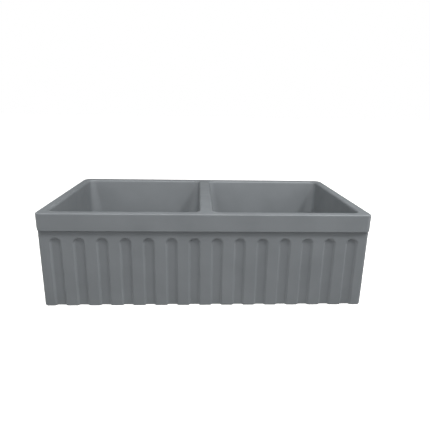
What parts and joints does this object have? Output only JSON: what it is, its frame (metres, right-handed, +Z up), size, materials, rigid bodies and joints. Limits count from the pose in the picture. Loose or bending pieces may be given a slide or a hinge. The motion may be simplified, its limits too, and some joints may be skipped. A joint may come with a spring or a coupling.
{
  "type": "farmhouse apron front sink",
  "caption": "Double-bowl fireclay farmhouse sink with a fluted apron on one side, a plain apron on the other and a lift-out basket strainer in each bowl.",
  "frame": {"origin": "middle of the base plane, under the centre of the sink's outer box", "axes": "+Z up, +X to the right along the width, fluted apron towards -Y, plain apron towards +Y"},
  "size_m": [0.8382, 0.4572, 0.254],
  "materials": {
    "fireclay": "matt grey glaze",
    "stainless_steel": "polished flange, satin pressings",
    "zinc": "cast zinc with a dull plating",
    "brass_rod": "turned",
    "black_rubber": "moulded, dull",
    "putty": "dull sealing ring",
    "fibre": "pressed fibre",
    "nylon": "moulded, satin"
  },
  "bodies": {
    "root": {"sink_body": "fireclay", "strainer_body_left": "stainless_steel", "flange_seal_left": "putty", "rubber_gasket_left": "black_rubber", "friction_ring_left": "fibre", "locknut_left": "zinc", "strainer_body_right": "stainless_steel", "flange_seal_right": "putty", "rubber_gasket_right": "black_rubber", "friction_ring_right": "fibre", "locknut_right": "zinc"},
    "basket_left": {"basket_left": "stainless_steel", "basket_bush_left": "nylon"},
    "stopper_left": {"stopper_stem_left": "brass_rod", "stopper_knob_left": "stainless_steel", "stopper_plate_left": "stainless_steel", "stopper_seal_left": "black_rubber", "stem_clip_left": "stainless_steel"},
    "basket_right": {"basket_right": "stainless_steel", "basket_bush_right": "nylon"},
    "stopper_right": {"stopper_stem_right": "brass_rod", "stopper_knob_right": "stainless_steel", "stopper_plate_right": "stainless_steel", "stopper_seal_right": "black_rubber", "stem_clip_right": "stainless_steel"}
  },
  "joints": [
    {"name": "basket_lift_left", "type": "slide", "parent": "root", "child": "basket_left", "axis": [0, 0, 1], "range_m": [0, 0.26]},
    {"name": "stopper_lift_left", "type": "slide", "parent": "basket_left", "child": "stopper_left", "axis": [0, 0, 1], "range_m": [0, 0.008]},
    {"name": "basket_lift_right", "type": "slide", "parent": "root", "child": "basket_right", "axis": [0, 0, 1], "range_m": [0, 0.26]},
    {"name": "stopper_lift_right", "type": "slide", "parent": "basket_right", "child": "stopper_right", "axis": [0, 0, 1], "range_m": [0, 0.008]}
  ]
}
